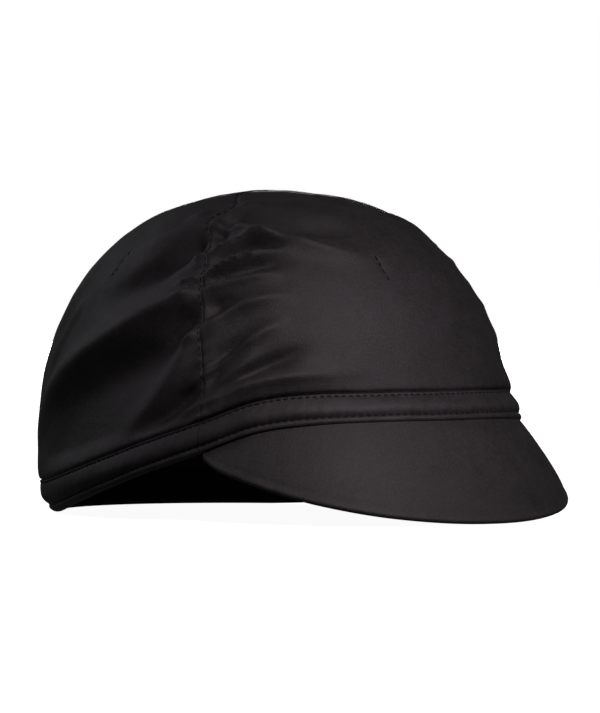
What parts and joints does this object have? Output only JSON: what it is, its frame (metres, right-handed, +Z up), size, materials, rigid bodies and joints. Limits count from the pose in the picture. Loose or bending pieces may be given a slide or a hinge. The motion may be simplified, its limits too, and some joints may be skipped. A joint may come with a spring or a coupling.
{
  "type": "cycling cap",
  "caption": "Soft black cotton cap with a short down-turned peak, a close round crown and a stitched folded hem.",
  "frame": {"origin": "under the middle of the cap, on the surface that it stands on", "axes": "+Z up, -Y the way the peak points, +X the wearer's left"},
  "size_m": [0.1612, 0.2226, 0.1183],
  "materials": {
    "crown_cloth": "close plain weave, dyed black, slightly shiny",
    "hem_cloth": "folded double, two stitched rows",
    "peak_cloth": "cloth pulled smooth over a thin stiff core"
  },
  "bodies": {
    "root": {"crown_front": "crown_cloth", "crown_back": "crown_cloth", "hem_front": "hem_cloth", "hem_back": "hem_cloth", "peak": "peak_cloth"}
  },
  "joints": []
}
